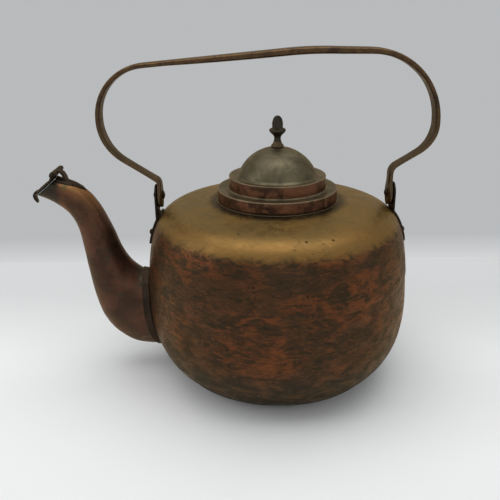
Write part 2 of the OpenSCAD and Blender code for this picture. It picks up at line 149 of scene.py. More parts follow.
def smooth_curve(points, parts=6):
    """A Catmull-Rom curve through the points."""
    p = np.asarray(points, float)
    p = np.vstack([2 * p[0] - p[1], p, 2 * p[-1] - p[-2]])
    out = []
    for i in range(1, len(p) - 2):
        for k in range(parts):
            t = k / parts
            out.append(0.5 * (2 * p[i] + t * (p[i + 1] - p[i - 1])
                              + t * t * (2 * p[i - 1] - 5 * p[i] + 4 * p[i + 1] - p[i + 2])
                              + t ** 3 * (3 * p[i] - p[i - 1] - 3 * p[i + 1] + p[i + 2])))
    out.append(p[-2])
    return np.array(out)


def even(points, step):
    """The curve's points spread evenly along it, about step apart."""
    reach = np.concatenate([[0], np.cumsum(np.linalg.norm(np.diff(points, axis=0), axis=1))])
    wanted = np.linspace(0, reach[-1], max(2, round(reach[-1] / step)) + 1)
    return np.stack([np.interp(wanted, reach, points[:, k]) for k in range(2)], -1)


def outward(curve):
    """Unit vectors square to the curve, on its right-hand side as it runs."""
    along = unit(np.gradient(curve, axis=0))
    return np.stack([along[:, 1], -along[:, 0]], -1)


def turn(outline, count):
    """Points of the outline (radius, height) turned round Z, as rows by count by 3."""
    angles = np.arange(count) * TAU / count
    r, z = outline[:, 0][:, None], outline[:, 1][:, None]
    return np.stack([r * np.cos(angles), r * np.sin(angles), z + 0 * angles], -1)


def turned_piece(name, outline, count, closed, dent=None):
    """A solid of revolution. An open outline starts and ends on the axis."""
    outline = np.asarray(outline, float)
    rows = outline if closed else outline[1:-1]
    points = turn(rows, count)
    if dent is not None:
        points = dent(points)
    flat = points.reshape(-1, 3)
    faces = grid_faces(len(rows), count, wrap_rows=closed)
    if not closed:
        flat = np.vstack([flat, [[0, 0, outline[0][1]], [0, 0, outline[-1][1]]]])
        low, high, last = len(flat) - 2, len(flat) - 1, (len(rows) - 1) * count
        faces += [(low, (j + 1) % count, j) for j in range(count)]
        faces += [(high, last + j, last + (j + 1) % count) for j in range(count)]
    return make_mesh(name, flat, faces)


def tube(name, rings):
    """A solid through the rings of points, closed at both ends."""
    rows, count = rings.shape[:2]
    faces = grid_faces(rows, count)
    faces += [tuple(range(count)), tuple(range(rows * count - 1, (rows - 1) * count - 1, -1))]
    return make_mesh(name, rings.reshape(-1, 3), faces)


def rod_x(start, length, half_w, half_h, count):
    """A round or oval rod along X from start, for cutting holes."""
    angles = np.arange(count) * TAU / count
    ring = np.stack([0 * angles, half_w * np.cos(angles), half_h * np.sin(angles)], -1) + start
    return tube("cutter", np.array([ring, ring + np.array([length, 0, 0])]))


def noise_at(points, wavelength, seed, octaves=2):
    """Smooth noise from about -1 to 1 at each point, lumps about one wavelength apart."""
    shape = points.shape[:-1]
    shift = Vector((seed * 7.3, seed * 3.1, seed * 5.7))
    scaled = (points.reshape(-1, 3) / wavelength).tolist()
    values = [noise.fractal(Vector(p) + shift, 0.9, 2.0, octaves) for p in scaled]
    return np.array(values).reshape(shape)


def ease(value, low, high):
    """Rises smoothly from 0 at low to 1 at high."""
    t = np.clip((value - low) / (high - low), 0, 1)
    return t * t * (3 - 2 * t)


def cut(obj, cutter):
    """Cuts cutter's shape out of obj and removes cutter."""
    step = obj.modifiers.new("cut", "BOOLEAN")
    step.operation = "DIFFERENCE"
    step.solver = "EXACT"
    step.object = cutter
    bake(obj)
    bpy.data.objects.remove(cutter)


def bake(obj):
    """Replaces obj's mesh with what its modifiers make of it."""
    bpy.context.view_layer.update()
    graph = bpy.context.evaluated_depsgraph_get()
    made = bpy.data.meshes.new_from_object(obj.evaluated_get(graph), depsgraph=graph)
    obj.modifiers.clear()
    obj.data = made
    made.polygons.foreach_set("use_smooth", [True] * len(made.polygons))


def mesh_points(obj):
    """The mesh's points in millimetres."""
    flat = np.zeros(len(obj.data.vertices) * 3)
    obj.data.vertices.foreach_get("co", flat)
    return flat.reshape(-1, 3) / MM


def set_points(obj, points):
    obj.data.vertices.foreach_set("co", (points * MM).ravel())
    obj.data.update()


def mark(obj, name, values):
    """Stores one number per point, for the material to read."""
    layer = obj.data.attributes.new(name, "FLOAT", "POINT")
    layer.data.foreach_set("value", np.asarray(values, np.float32).ravel())


def worn_copy(node, voxel, smoothing, wobble=0.0):
    """A copy of a CAD node with its hard edges rounded off and its faces slightly uneven."""
    source = nodes[node]
    obj = bpy.data.objects.new(node + "_worn", source.data.copy())
    scene.collection.objects.link(obj)
    remesh = obj.modifiers.new("remesh", "REMESH")
    remesh.mode = "VOXEL"
    remesh.voxel_size = voxel * MM
    smooth = obj.modifiers.new("smooth", "SMOOTH")
    smooth.factor = 0.5
    smooth.iterations = smoothing
    bake(obj)
    if wobble:
        points = mesh_points(obj)
        normals = np.zeros(len(points) * 3)
        obj.data.vertex_normals.foreach_get("vector", normals)
        depth = wobble * (0.5 + 0.5 * noise_at(points, 9, 4))
        set_points(obj, points - normals.reshape(-1, 3) * depth[:, None])
    return obj


def finish_piece(obj, body, node_names, material):
    """Rides the piece on its body, in place of its CAD nodes, with its finish."""
    obj.data.materials.clear()
    obj.data.materials.append(material)
    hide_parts(*node_names)
    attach(obj, body)


# ---- Materials ----
class Finish:
    """A node material, with short calls for the nodes that every finish uses."""

    def __init__(self, name):
        self.material = bpy.data.materials.new(name)
        self.material.use_nodes = True
        self.tree = self.material.node_tree
        self.tree.nodes.clear()
        self.place = self.node("ShaderNodeTexCoord").outputs["Object"]
        self.surface = self.node("ShaderNodeBsdfPrincipled")
        out = self.node("ShaderNodeOutputMaterial")
        self.link(self.surface.outputs[0], out.inputs["Surface"])

    def node(self, kind):
        return self.tree.nodes.new(kind)

    def link(self, source, target):
        self.tree.links.new(source, target)

    def put(self, value, socket):
        """Links an output to the socket, or sets the socket's own value."""
        if isinstance(value, bpy.types.NodeSocket):
            self.link(value, socket)
        elif isinstance(value, tuple) and len(value) == 3 and socket.type == "RGBA":
            socket.default_value = (*value, 1)
        else:
            socket.default_value = value

    def math(self, operation, a, b=0.0):
        step = self.node("ShaderNodeMath")
        step.operation = operation
        self.put(a, step.inputs[0])
        self.put(b, step.inputs[1])
        return step.outputs[0]

    def spread(self, value, low, high, to_low=0.0, to_high=1.0):
        """Maps low..high smoothly to to_low..to_high."""
        step = self.node("ShaderNodeMapRange")
        step.interpolation_type = "SMOOTHSTEP"
        for socket, number in zip(step.inputs[:5], (value, low, high, to_low, to_high)):
            self.put(number, socket)
        return step.outputs[0]

    def stretched(self, stretch):
        step = self.node("ShaderNodeMapping")
        self.link(self.place, step.inputs["Vector"])
        step.inputs["Scale"].default_value = stretch
        return step.outputs[0]

    def noise(self, size_mm, detail=4.0, roughness=0.6, distortion=0.0, stretch=(1, 1, 1)):
        """Noise with features of about that size; a stretch above 1 flattens them on that axis."""
        step = self.node("ShaderNodeTexNoise")
        self.link(self.stretched(stretch), step.inputs["Vector"])
        step.inputs["Scale"].default_value = 1 / (size_mm * MM)
        step.inputs["Detail"].default_value = detail
        step.inputs["Roughness"].default_value = roughness
        step.inputs["Distortion"].default_value = distortion
        return step.outputs["Fac"]

    def cells(self, size_mm, output="Distance"):
        """Distance to the middle of the nearest cell, or that cell's random colour."""
        step = self.node("ShaderNodeTexVoronoi")
        self.link(self.stretched((1, 1, 1)), step.inputs["Vector"])
        step.inputs["Scale"].default_value = 1 / (size_mm * MM)
        return step.outputs[output]

    def mix(self, share, a, b):
        step = self.node("ShaderNodeMix")
        step.data_type = "RGBA"             # its colour sockets are inputs 6 and 7 and output 2
        self.put(share, step.inputs["Factor"])
        self.put(a, step.inputs[6])
        self.put(b, step.inputs[7])
        return step.outputs[2]

    def layer(self, name):
        """A number stored per point by mark()."""
        step = self.node("ShaderNodeAttribute")
        step.attribute_name = name
        return step.outputs["Fac"]

    def axis(self, index):
        step = self.node("ShaderNodeSeparateXYZ")
        self.link(self.place, step.inputs[0])
        return step.outputs[index]

    def normal_z(self):
        """How far the surface faces up or down in the object's own frame, from 0 to 1."""
        coordinate = self.node("ShaderNodeTexCoord")
        step = self.node("ShaderNodeSeparateXYZ")
        self.link(coordinate.outputs["Normal"], step.inputs[0])
        return self.math("ABSOLUTE", step.outputs[2])

    def pits(self, size_mm, share, radius):
        """A mask of small round spots in that share of the cells."""
        near = self.spread(self.cells(size_mm), radius, radius * 0.45)
        color = self.node("ShaderNodeSeparateColor")
        self.link(self.cells(size_mm, output="Color"), color.inputs[0])
        chosen = self.spread(color.outputs[0], 1 - share, 1 - share + 0.02)
        return self.math("MULTIPLY", near, chosen)

    def finish(self, color, roughness, metallic, height, bump_mm, bump_strength=1.0,
               tint=(0.95, 0.78, 0.58, 1)):
        self.put(color, self.surface.inputs["Base Color"])
        self.put(roughness, self.surface.inputs["Roughness"])
        self.surface.inputs["Metallic"].default_value = metallic
        self.surface.inputs["Specular Tint"].default_value = tint
        bump = self.node("ShaderNodeBump")
        bump.inputs["Strength"].default_value = bump_strength
        bump.inputs["Distance"].default_value = bump_mm * MM
        self.link(height, bump.inputs["Height"])
        self.link(bump.outputs[0], self.surface.inputs["Normal"])
        return self.material


def body_finish():
    """Old copper: red-brown sides mottled with olive, an olive-golden shoulder, and darker olive-grey towards the
    bottom; a painted highlight along the shoulder's front edge, painted shade round the neck and near black painted
    shade at the very bottom.
    """
    f = Finish("aged_copper_body")
    height = f.axis(2)
    radius = f.math("SQRT", f.math("ADD", f.math("POWER", f.axis(0), 2.0), f.math("POWER", f.axis(1), 2.0)))
    broad = f.noise(46, 4, 0.6, 0.6, (1, 1, 1.5))
    patch = f.noise(17, 6, 0.68, 0.9, (1, 1, 1.9))
    streak = f.noise(13, 7, 0.74, 0.5, (0.7, 0.7, 2.6))
    fine = f.noise(3.6, 5, 0.68, 0.5, (0.8, 0.8, 2.2))
    side = f.mix(f.spread(patch, 0.38, 0.62), (0.044, 0.026, 0.014), (0.142, 0.046, 0.017))
    side = f.mix(f.spread(broad, 0.42, 0.60, 0, 0.7), side, (0.056, 0.032, 0.017))
    side = f.mix(f.spread(streak, 0.49, 0.62, 0, 0.85), side, (0.028, 0.022, 0.013))
    side = f.mix(f.spread(fine, 0.54, 0.72, 0, 0.45), side, (0.190, 0.078, 0.024))
    side = f.mix(f.spread(fine, 0.46, 0.32, 0, 0.55), side, (0.026, 0.018, 0.010))
    shoulder = f.mix(f.spread(broad, 0.35, 0.65), (0.172, 0.112, 0.038), (0.225, 0.134, 0.040))
    shoulder = f.mix(f.spread(patch, 0.50, 0.72, 0, 0.4), shoulder, (0.110, 0.080, 0.034))
    shoulder = f.mix(f.spread(streak, 0.56, 0.72, 0, 0.4), shoulder, (0.072, 0.050, 0.022))
    # painted highlight: a golden band on the shoulder's outer edge, strongest at the front (negative Y), standing in
    # for the light that edge catches
    painted_highlight = f.math("MULTIPLY", f.spread(radius, 0.080, 0.098), f.spread(patch, 0.35, 0.6, 0.55, 1.0))
    painted_highlight = f.math("MULTIPLY", painted_highlight, f.spread(f.axis(1), -0.020, -0.070, 0.15, 1.0))
    shoulder = f.mix(painted_highlight, shoulder, (0.215, 0.118, 0.034))
    # painted shade: a dark ring on the shoulder round the neck, under the lid's skirt
    painted_neck_shade = f.math("MULTIPLY", f.spread(radius, 0.0625, 0.0545), f.spread(patch, 0.3, 0.6, 0.6, 1.0))
    shoulder = f.mix(painted_neck_shade, shoulder, (0.030, 0.022, 0.012))
    wander = f.math("MULTIPLY", f.math("SUBTRACT", patch, 0.5), 0.014)
    lifted = f.math("ADD", height, wander)
    color = f.mix(f.spread(lifted, 0.138, 0.146), side, shoulder)
    # darker, mottled olive-grey towards the bottom
    foot = f.mix(f.spread(patch, 0.46, 0.64), (0.030, 0.028, 0.021), (0.095, 0.050, 0.026))
    low = f.math("ADD", height, f.math("MULTIPLY", f.math("SUBTRACT", streak, 0.5), 0.05))
    color = f.mix(f.spread(low, 0.062, 0.030, 0, 0.9), color, foot)
    # painted shade: near black at the very bottom, where the curve turns under towards the table
    color = f.mix(f.spread(height, 0.030, 0.008, 0, 0.9), color, (0.013, 0.012, 0.010))
    spots = f.pits(10, 0.35, 0.13)
    color = f.mix(f.math("MULTIPLY", spots, 0.85), color, (0.010, 0.008, 0.006))
    small_spots = f.pits(4.4, 0.3, 0.18)
    color = f.mix(f.math("MULTIPLY", small_spots, 0.6), color, (0.014, 0.010, 0.008))
    tin = f.mix(f.spread(patch, 0.35, 0.7), (0.30, 0.29, 0.27), (0.17, 0.15, 0.12))
    color = f.mix(f.layer("inside"), color, tin)
    tone = f.math("ADD", f.math("MULTIPLY", patch, 0.6), f.math("MULTIPLY", fine, 0.4))
    rough = f.spread(tone, 0.4, 0.62, 0.54, 0.34)
    relief = f.math("ADD", f.math("MULTIPLY", streak, 0.6), f.math("MULTIPLY", fine, 0.45))
    relief = f.math("SUBTRACT", relief, f.math("MULTIPLY", spots, 0.8))
    relief = f.math("SUBTRACT", relief, f.math("MULTIPLY", small_spots, 0.35))
    return f.finish(color, rough, 0.82, relief, 0.45, 0.8)


def plain_finish(name, dark, light, touch, metallic=0.85, rough=(0.32, 0.55), size=12.0, worn_and_highlit=None):
    """Tarnished metal from two tones and a third that shows in small patches, with an edge tone where the mesh marks
    rubbed edges and painted highlight.
    """
    f = Finish(name)
    broad = f.noise(size * 2, 4, 0.6, 0.5)
    patch = f.noise(size * 0.6, 5, 0.65, 0.6)
    fine = f.noise(1.6, 3, 0.6)
    color = f.mix(f.spread(broad, 0.35, 0.65), dark, light)
    color = f.mix(f.spread(patch, 0.55, 0.75, 0, 0.8), color, touch)
    spots = f.pits(4, 0.25, 0.2)
    color = f.mix(f.math("MULTIPLY", spots, 0.6), color, (0.012, 0.009, 0.007))
    # the edge tone goes where the mesh is marked: rubbed rims and edges, and on the neck flange's rim a painted
    # highlight
    if worn_and_highlit is not None:
        share = f.math("MULTIPLY", f.layer("wear_and_highlight"), f.spread(patch, 0.3, 0.6, 0.45, 1.0))
        color = f.mix(share, color, worn_and_highlit)
    grain = f.math("ADD", patch, f.math("MULTIPLY", fine, 0.4))
    roughness = f.spread(grain, 0.4, 0.95, *rough)
    relief = f.math("SUBTRACT", grain, spots)
    return f.finish(color, roughness, metallic, relief, 0.15, 0.5)


def lid_finish():
    """Grey-green tops and dome, red copper step sides, pale rubbed rims."""
    f = Finish("bronzed_copper_lid")
    broad = f.noise(22, 4, 0.6, 0.5)
    patch = f.noise(8, 5, 0.65, 0.8)
    fine = f.noise(1.8, 3, 0.6)
    top = f.mix(f.spread(broad, 0.35, 0.65), (0.088, 0.074, 0.046), (0.165, 0.140, 0.088))
    top = f.mix(f.spread(patch, 0.55, 0.75, 0, 0.6), top, (0.072, 0.074, 0.048))
    side = f.mix(f.spread(broad, 0.4, 0.6), (0.050, 0.026, 0.016), (0.150, 0.064, 0.034))
    side = f.mix(f.spread(patch, 0.50, 0.66), side, (0.185, 0.085, 0.044))
    upright = f.spread(f.normal_z(), 0.35, 0.15)
    below_dome = f.spread(f.axis(2), 0.1820, 0.1805)
    color = f.mix(f.math("MULTIPLY", upright, below_dome), top, side)
    spots = f.pits(4.5, 0.2, 0.2)
    color = f.mix(f.math("MULTIPLY", spots, 0.6), color, (0.014, 0.010, 0.008))
    worn_and_highlit = f.math("MULTIPLY", f.layer("wear_and_highlight"), f.spread(patch, 0.30, 0.62, 0.35, 1.0))
    color = f.mix(worn_and_highlit, color, (0.230, 0.170, 0.105))
    grain = f.math("ADD", patch, f.math("MULTIPLY", fine, 0.4))
    roughness = f.spread(grain, 0.4, 0.95, 0.33, 0.52)
    relief = f.math("SUBTRACT", grain, spots)
    return f.finish(color, roughness, 0.9, relief, 0.25, 0.6)


def handle_finish():
    """Dark brown copper with golden rubbed edges and a golden painted highlight along the top of the grip, olive on
    the legs.
    """
    f = Finish("brown_copper_handle")
    broad = f.noise(30, 4, 0.6, 0.5)
    patch = f.noise(8, 5, 0.65, 0.6)
    fine = f.noise(1.6, 3, 0.6)
    color = f.mix(f.spread(broad, 0.35, 0.65), (0.026, 0.017, 0.014), (0.054, 0.031, 0.022))
    color = f.mix(f.spread(patch, 0.55, 0.75, 0, 0.6), color, (0.078, 0.048, 0.028))
    color = f.mix(f.layer("leg"), color, (0.080, 0.058, 0.032))
    # golden where the mesh is marked: rubbed side edges, and a painted highlight on the grip's top face
    worn_and_highlit = f.math("MULTIPLY", f.layer("wear_and_highlight"), f.spread(patch, 0.35, 0.62, 0.3, 1.0))
    color = f.mix(worn_and_highlit, color, (0.200, 0.118, 0.050))
    spots = f.pits(5, 0.25, 0.18)
    color = f.mix(f.math("MULTIPLY", spots, 0.6), color, (0.012, 0.009, 0.007))
    grain = f.math("ADD", patch, f.math("MULTIPLY", fine, 0.4))
    roughness = f.spread(grain, 0.4, 0.95, 0.30, 0.52)
    relief = f.math("SUBTRACT", grain, spots)
    return f.finish(color, roughness, 0.85, relief, 0.2, 0.5)


def spout_finish():
    """Dark red-brown copper with a golden painted highlight towards the top of the bend, green by the hinge strap.
    """
    f = Finish("dark_copper_spout")
    height = f.axis(2)
    broad = f.noise(26, 5, 0.62, 0.6)
    patch = f.noise(9, 5, 0.65, 0.8)
    scratch = f.noise(7, 6, 0.7, 1.6, (0.6, 0.6, 1.4))
    fine = f.noise(2.2, 4, 0.6)
    color = f.mix(f.spread(broad, 0.40, 0.62), (0.050, 0.026, 0.017), (0.098, 0.042, 0.026))
    color = f.mix(f.spread(patch, 0.52, 0.68, 0, 0.8), color, (0.052, 0.042, 0.026))
    low = f.spread(f.math("ADD", height, f.math("MULTIPLY", f.math("SUBTRACT", broad, 0.5), 0.05)),
                   0.056, 0.024)
    color = f.mix(f.math("MULTIPLY", low, 0.6), color, (0.098, 0.060, 0.040))
    scraped = f.math("MULTIPLY", low, f.spread(scratch, 0.54, 0.64))
    color = f.mix(f.math("MULTIPLY", scraped, 0.8), color, (0.250, 0.150, 0.100))
    # painted highlight: golden over the top of the bend, on faces that point up or down, standing in for the light
    # that part of the curve catches
    bend = f.math("MULTIPLY", f.spread(height, 0.142, 0.160), f.spread(f.axis(0), -0.193, -0.184))
    painted_highlight = f.math("MULTIPLY", bend, f.spread(f.normal_z(), 0.20, 0.70, 0.05, 0.9))
    color = f.mix(painted_highlight, color, (0.220, 0.100, 0.036))
    green_zone = f.math("MULTIPLY", f.spread(height, 0.169, 0.176), f.spread(patch, 0.40, 0.58))
    color = f.mix(f.math("MULTIPLY", green_zone, 0.8), color, (0.046, 0.062, 0.030))
    near_lip = f.spread(f.axis(0), -0.181, -0.190)
    color = f.mix(f.math("MULTIPLY", near_lip, 0.85), color, (0.030, 0.026, 0.021))
    root_x = f.spread(f.axis(0), -0.128, -0.122)
    root_top = f.math("MULTIPLY", root_x, f.spread(height, 0.076, 0.090))
    root_green = f.math("MULTIPLY", root_top, f.spread(patch, 0.36, 0.56))
    color = f.mix(f.math("MULTIPLY", root_green, 0.7), color, (0.060, 0.066, 0.044))
    spots = f.pits(6, 0.3, 0.16)
    color = f.mix(f.math("MULTIPLY", spots, 0.7), color, (0.012, 0.009, 0.007))
    grain = f.math("ADD", patch, f.math("MULTIPLY", fine, 0.4))
    roughness = f.spread(grain, 0.4, 0.95, 0.30, 0.50)
    relief = f.math("SUBTRACT", grain, spots)
    relief = f.math("ADD", relief, f.math("MULTIPLY", scraped, 0.5))
    return f.finish(color, roughness, 0.75, relief, 0.3, 0.6)


# ---- Body and base pan ----
def low_point(a):
    """A point (radius, height) of the body's lower curve, a from 0 at the base to 90 degrees at the belly."""
    return np.array([BASE_FLAT_R + (BELLY_R - BASE_FLAT_R) * math.sin(a) ** LOW_POWER[0],
                     BELLY_Z * (1 - math.cos(a) ** LOW_POWER[1])])


def shoulder_point(r):
    """The point of the nearly flat shoulder at that radius."""
    return np.array([r, SHOULDER_Z + SHOULDER_SLOPE * (BELLY_R - r)])


def top_point(a):
    """A point of the body's upper curve, a from 0 at the belly to 90 degrees at the shoulder."""
    r = SHOULDER_R + (BELLY_R - SHOULDER_R) * max(math.cos(a), 0) ** TOP_POWER[0]
    rise = SHOULDER_SLOPE * (BELLY_R - r)
    return np.array([r, BELLY_Z + (SHOULDER_Z - BELLY_Z) * math.sin(a) ** TOP_POWER[1] + rise])


def wall_curve():
    """The body's outer outline from the seam up to the neck, its points evenly spaced."""
    low = [low_point(math.radians(a)) for a in np.arange(SEAM_ANGLE, 89.5, 0.5)]
    top = [top_point(math.radians(a)) for a in np.arange(0, 89.9, 0.25)]
    flat = [shoulder_point(r) for r in (60, 56, NECK_R + 0.05)]
    return even(np.array(low + top + flat), 1.6)


def hammered_depth(points):
    """How far the hammer and the years have pushed the sheet in, in millimetres."""
    x, y, z = points[..., 0], points[..., 1], points[..., 2]
    depth = 0.55 * (0.5 + 0.5 * noise_at(points, 62, 1)) + 0.26 * (0.5 + 0.5 * noise_at(points, 21, 2))
    depth += 0.07 * (0.5 + 0.5 * noise_at(points * (1, 1, 2.2), 9, 3))
    around = np.arctan2(y, x)
    scatter = np.random.default_rng(11)
    for _ in range(46):
        at, level = scatter.uniform(-math.pi, math.pi), scatter.uniform(15, 140)
        size, deep = scatter.uniform(2.5, 7), scatter.uniform(0.15, 0.5)
        arc = (np.angle(np.exp(1j * (around - at)))) * BELLY_R
        depth += deep * np.exp(-(arc ** 2 + (z - level) ** 2) / size ** 2)
    radius = np.hypot(x, y)
    flat_top = ease(z, 135, 148)
    depth *= 1 - 0.55 * flat_top
    depth *= ease(radius, 54, 66) + (z < 100)
    by_ears = ease(np.abs(x), 84, 96) * (1 - ease(np.abs(y), 10, 22)) * ease(z, 96, 112)
    by_spout = ease(-x, 80, 96) * (1 - ease(np.abs(y), 27, 38)) * (1 - ease(z, 98, 112))
    return depth * (1 - np.clip(by_ears + by_spout, 0, 1))


def make_body(material):
    curve = wall_curve()
    normal = outward(curve)
    count = 420
    sheet = turn(curve, count)
    depth = hammered_depth(sheet)
    angles = np.arange(count) * TAU / count
    push = np.stack([normal[:, 0][:, None] * np.cos(angles), normal[:, 0][:, None] * np.sin(angles),
                     normal[:, 1][:, None] + 0 * angles], -1)
    outer = sheet - push * depth[..., None]
    inner = outer - push * WALL_T
    points = np.concatenate([outer, inner[::-1]])
    obj = make_mesh("hammered_body", points.reshape(-1, 3),
                    grid_faces(len(points), count, wrap_rows=True))
    mark(obj, "inside", np.repeat([0.0, 1.0], outer.shape[0] * count))
    cut(obj, rod_x((-BELLY_R - 10, 0, SPOUT_HOLE_Z), 40, SPOUT_HOLE_HALF_W, SPOUT_HOLE_HALF_H, 64))
    finish_piece(obj, "kettle", ["body_shell"], material)


def make_base(material):
    """The bottom pan, a little dished, with the lap that the body stands over."""
    low = np.array([low_point(math.radians(a)) for a in np.arange(0, SEAM_ANGLE + 10.1, 0.5)])
    seam = int(SEAM_ANGLE * 2)
    normal = outward(low)
    outer = low[:seam + 1]
    lap_outer = (low - normal * (WALL_T + SEAM_GAP))[seam:]
    lap_inner = (low - normal * (2 * WALL_T + SEAM_GAP))[seam:]
    inner = (low - normal * WALL_T)[:seam - 7]
    floor = dense([[0, 0], [BASE_FLAT_R - 2, 0]], 3)
    inside_floor = dense([[BASE_FLAT_R - 2, WALL_T], [0, WALL_T]], 3)
    outline = np.vstack([floor, outer[1:], lap_outer, lap_inner[::-1], inner[::-1][:-1], inside_floor])

    def dished(points):
        r = np.hypot(points[..., 0], points[..., 1])
        lift = 0.5 * (1 - ease(r, 8, 52)) + 0.3 * (0.5 + 0.5 * noise_at(points, 30, 6)) * (1 - ease(r, 44, 57))
        side = ease(points[..., 2], 2, 9) * (0.5 + 0.5 * noise_at(points, 62, 1)) * 0.45
        points = points.copy()
        points[..., 2] += lift
        points[..., :2] *= (1 - side / np.maximum(r, 1))[..., None]
        return points

    obj = turned_piece("dished_base_pan", outline, 300, closed=False, dent=dished)
    obj_points = mesh_points(obj)
    is_inside = obj_points[:, 2] > np.interp(np.hypot(obj_points[:, 0], obj_points[:, 1]),
                                             low[:, 0], low[:, 1] + WALL_T * 0.5, left=WALL_T * 0.5 + 0.4)
    mark(obj, "inside", is_inside.astype(float))
    finish_piece(obj, "kettle", ["base_pan"], material)


def make_neck(material):
    """The ring that stands in the shoulder's opening, with a thin flange on the shoulder."""
    bottom = shoulder_point(NECK_R)[1] - 4
    rim = shoulder_point(NECK_FLANGE_R) + [0, SEAM_GAP]
    root = shoulder_point(NECK_R) + [0, SEAM_GAP]
    thick = np.array([0, NECK_FLANGE_T])
    outline = rounded([[NECK_R - WALL_T, bottom], [NECK_R, bottom], root, rim, rim + thick,
                       root + thick, [NECK_R, NECK_TOP_Z], [NECK_R - WALL_T, NECK_TOP_Z]],
                      0.35, closed=True)
    obj = turned_piece("neck_ring", outline, 240, closed=True)
    # painted highlight: the flange's outer rim is marked for a lighter edge tone, standing in for the bright edge it
    # catches
    mark(obj, "wear_and_highlight", ease(np.hypot(*mesh_points(obj)[:, :2].T), 51.7, 52.3))
    finish_piece(obj, "kettle", ["neck_collar"], material)


# ---- Lid ----
def make_lid(material):
    """The stepped lid with its dome, as one sheet."""
    height = DOME_TOP_Z - LID_UPPER_Z
    ball = (DOME_R ** 2 + height ** 2) / (2 * height)
    centre = DOME_TOP_Z - ball
    hole_r = 2.0

    def dome(r, steps=40):
        angles = np.linspace(math.asin(DOME_R / ball), math.asin(hole_r / r), steps)
        return np.stack([r * np.sin(angles), centre + r * np.cos(angles)], -1)

    skirt_z = shoulder_point(LID_R)[1] + 1.25
    outside = rounded([[LID_R - 0.2, skirt_z], [LID_R, skirt_z + 1.2], [LID_R - 0.25, LID_STEP_Z - 1.6],
                       [LID_R - 0.1, LID_STEP_Z], [LID_UPPER_R + 1.5, LID_STEP_Z - 0.5],
                       [LID_UPPER_R - 0.2, LID_STEP_Z + 0.2],
                       [LID_UPPER_R - 0.35, LID_UPPER_Z - 1.4], [LID_UPPER_R - 0.1, LID_UPPER_Z],
                       [DOME_R + 1.6, LID_UPPER_Z - 0.45], dome(ball)[1]], 0.9)
    inside = rounded([dome(ball - LID_T)[0], [LID_UPPER_R - LID_T - 0.4, LID_UPPER_Z - LID_T - 0.5],
                      [LID_UPPER_R - LID_T - 0.4, LID_STEP_Z - LID_T - 0.5],
                      [LID_R - LID_T - 0.3, LID_STEP_Z - LID_T - 0.5], [LID_R - LID_T - 0.2, skirt_z]], 0.8)
    outline = np.vstack([dense(outside, 0.9), dome(ball)[2:], dome(ball - LID_T)[::-1][:-1],
                         dense(inside, 0.9)])

    def uneven(points):
        depth = 0.22 * (0.5 + 0.5 * noise_at(points, 26, 8)) + 0.1 * (0.5 + 0.5 * noise_at(points, 9, 9))
        r = np.hypot(points[..., 0], points[..., 1])
        points = points.copy()
        points[..., :2] *= (1 - depth / np.maximum(r, 4) * ease(r, 3, 12))[..., None]
        return points

    obj = turned_piece("stepped_lid", outline, 300, closed=True, dent=uneven)
    p = mesh_points(obj)
    r = np.hypot(p[:, 0], p[:, 1])
    lower_rim = np.exp(-(((r - LID_R + 0.5) / 0.9) ** 2 + ((p[:, 2] - LID_STEP_Z) / 0.8) ** 2))
    upper_rim = np.exp(-(((r - LID_UPPER_R + 0.5) / 0.9) ** 2 + ((p[:, 2] - LID_UPPER_Z) / 0.8) ** 2))
    mark(obj, "wear_and_highlight", np.clip((lower_rim + upper_rim) * 1.4, 0, 1))
    finish_piece(obj, "lid", ["lid_shell"], material)


def make_lid_collar(material):
    outer_r = NECK_R - WALL_T - 0.5
    top = LID_STEP_Z - LID_T - 0.5
    outline = rounded([[outer_r, top - 14.5], [outer_r, top], [outer_r - LID_T, top], [outer_r - LID_T, top - 14.5]],
                      0.35, closed=True)
    obj = turned_piece("lid_centring_ring", outline, 200, closed=True)
    finish_piece(obj, "lid", ["lid_inner_collar"], material)


def make_finial(acorn_material, brass_material):
    base = DOME_TOP_Z
    foot = smooth_curve([[2.0, base + 4.6], [3.3, base + 4.6], [3.5, base + 3.6], [4.1, base + 2.6],
                         [5.0, base + 1.7], [5.35, base + 0.8], [5.3, base], [4.7, base - 0.18],
                         [3, base - 0.02], [2.0, base + 0.04]], 5)
    obj = turned_piece("flared_finial_foot", foot, 72, closed=True)
    finish_piece(obj, "lid", ["finial_foot"], brass_material)

    neck = base + 4.6
    outline = np.vstack([
        [[0, base - 3.4], [1.95, base - 3.4], [1.95, neck - 0.05]],
        smooth_curve([[3.1, neck + 0.05], [3.0, neck + 0.9], [2.8, neck + 2.2], [3.0, neck + 3.6],
                      [3.9, neck + 5.2], [5.4, neck + 6.6], [6.6, neck + 7.9], [6.95, neck + 9.1],
                      [6.5, neck + 10.2], [5.3, neck + 10.8], [4.5, neck + 11.4], [4.55, neck + 13.2],
                      [4.5, neck + 15.0], [4.1, neck + 17.2], [3.3, neck + 19.2], [2.0, neck + 20.6],
                      [0.9, neck + 21.1], [0, neck + 21.2]], 5)])
    obj = turned_piece("acorn_knob", outline, 72, closed=False)
    finish_piece(obj, "lid", ["finial_acorn"], acorn_material)

    top = base - LID_T - 0.5
    burr = rounded([[2.0, top - 1.6], [4.0, top - 1.6], [5.0, top], [2.0, top]], 0.4, closed=True)
    obj = turned_piece("finial_washer", burr, 64, closed=True)
    finish_piece(obj, "lid", ["finial_burr"], brass_material)


# ---- Handle ----
# Corners of the strip's middle line: x, z and bend radius, from the left foot's end to the right one's
BAIL_CORNERS = [(LEFT_FOOT_X, FOOT_END_Z, 0), (LEFT_FOOT_X, 176.2, 5), (-147.6, 206.5, 40),
                (-147.2, 268, 42), (25, 282.8, 300), (131.4, 279.8, 58), (131.4, 207, 28),
                (RIGHT_FOOT_X, 185.5, 9), (RIGHT_FOOT_X, FOOT_END_Z, 0)]
